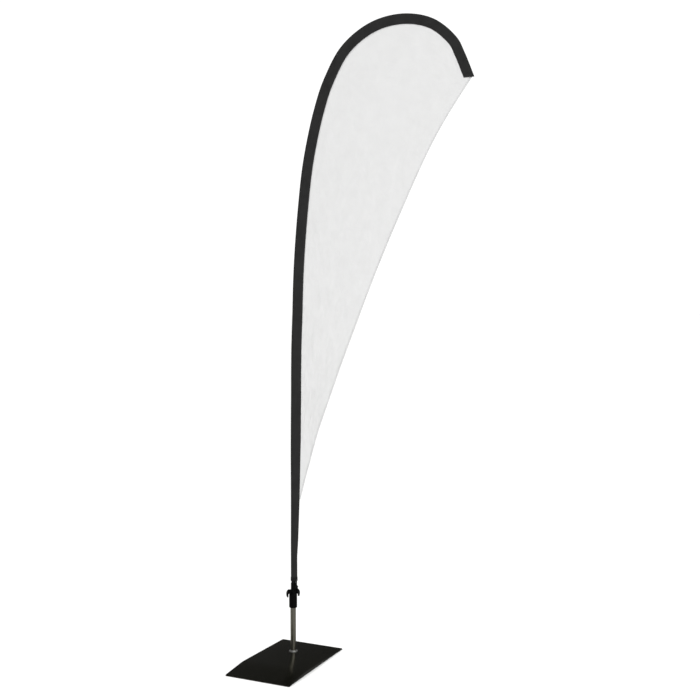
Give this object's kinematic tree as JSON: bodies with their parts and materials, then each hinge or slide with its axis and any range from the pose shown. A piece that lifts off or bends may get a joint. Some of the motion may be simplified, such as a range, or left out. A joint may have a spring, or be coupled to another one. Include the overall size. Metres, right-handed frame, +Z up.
{
  "type": "teardrop flag",
  "caption": "Teardrop flag: black pocket on a bowed pole, white cloth panel, hooked collar with an elastic, turning steel post and a folded black steel base plate.",
  "frame": {"origin": "on the floor, below the middle of the whole flag's box", "axes": "+Z up along the post; the flag's cloth lies in the XZ plane, and its tip points along +X"},
  "size_m": [1.041, 0.5774, 2.7551],
  "materials": {
    "plate_enamel": "gloss",
    "polished_ring": "polished",
    "tube_steel": "satin",
    "machined_steel": "satin",
    "bearing_steel": "polished",
    "screw_black": "satin",
    "seal_rubber": "matte",
    "collar_nylon": "satin",
    "pole_fibre": "satin",
    "ferrule_steel": "satin",
    "cap_plastic": "matte",
    "black_cloth": "matte",
    "webbing": "matte",
    "elastic": "matte",
    "white_cloth": "matte"
  },
  "bodies": {
    "base": {"base_plate": "plate_enamel", "axle_screw": "machined_steel", "foot_flange": "polished_ring", "axle": "machined_steel", "lower_bearing_inner_ring": "bearing_steel", "lower_bearing_balls": "bearing_steel", "upper_bearing_inner_ring": "bearing_steel", "upper_bearing_balls": "bearing_steel", "bearing_spacer": "machined_steel", "axle_washer": "machined_steel", "axle_nut": "machined_steel", "dust_seal": "seal_rubber"},
    "spindle": {"spindle_tube": "tube_steel", "lower_bearing_outer_ring": "bearing_steel", "upper_bearing_outer_ring": "bearing_steel", "spigot": "machined_steel", "cross_pin": "machined_steel"},
    "flag": {"anchor_collar": "collar_nylon", "collar_screw": "screw_black", "pole_bottom": "pole_fibre", "pole_guard": "cap_plastic", "lower_ferrule": "ferrule_steel", "pole_middle": "pole_fibre", "upper_ferrule": "ferrule_steel", "pole_top": "pole_fibre", "tip_cap": "cap_plastic", "pole_sleeve": "black_cloth", "hem_band": "webbing", "hem_tab": "webbing", "elastic_cord": "elastic", "elastic_knot": "elastic", "flag_panel": "white_cloth"}
  },
  "joints": [
    {"name": "spindle_spin", "type": "hinge", "parent": "base", "child": "spindle", "pos_m": [-0.25428, 0.11479, 0.1245], "axis": [0, 0, 1], "continuous": true},
    {"name": "flag_lift", "type": "slide", "parent": "spindle", "child": "flag", "axis": [0, 0, 1], "range_m": [0, 0.112]}
  ]
}
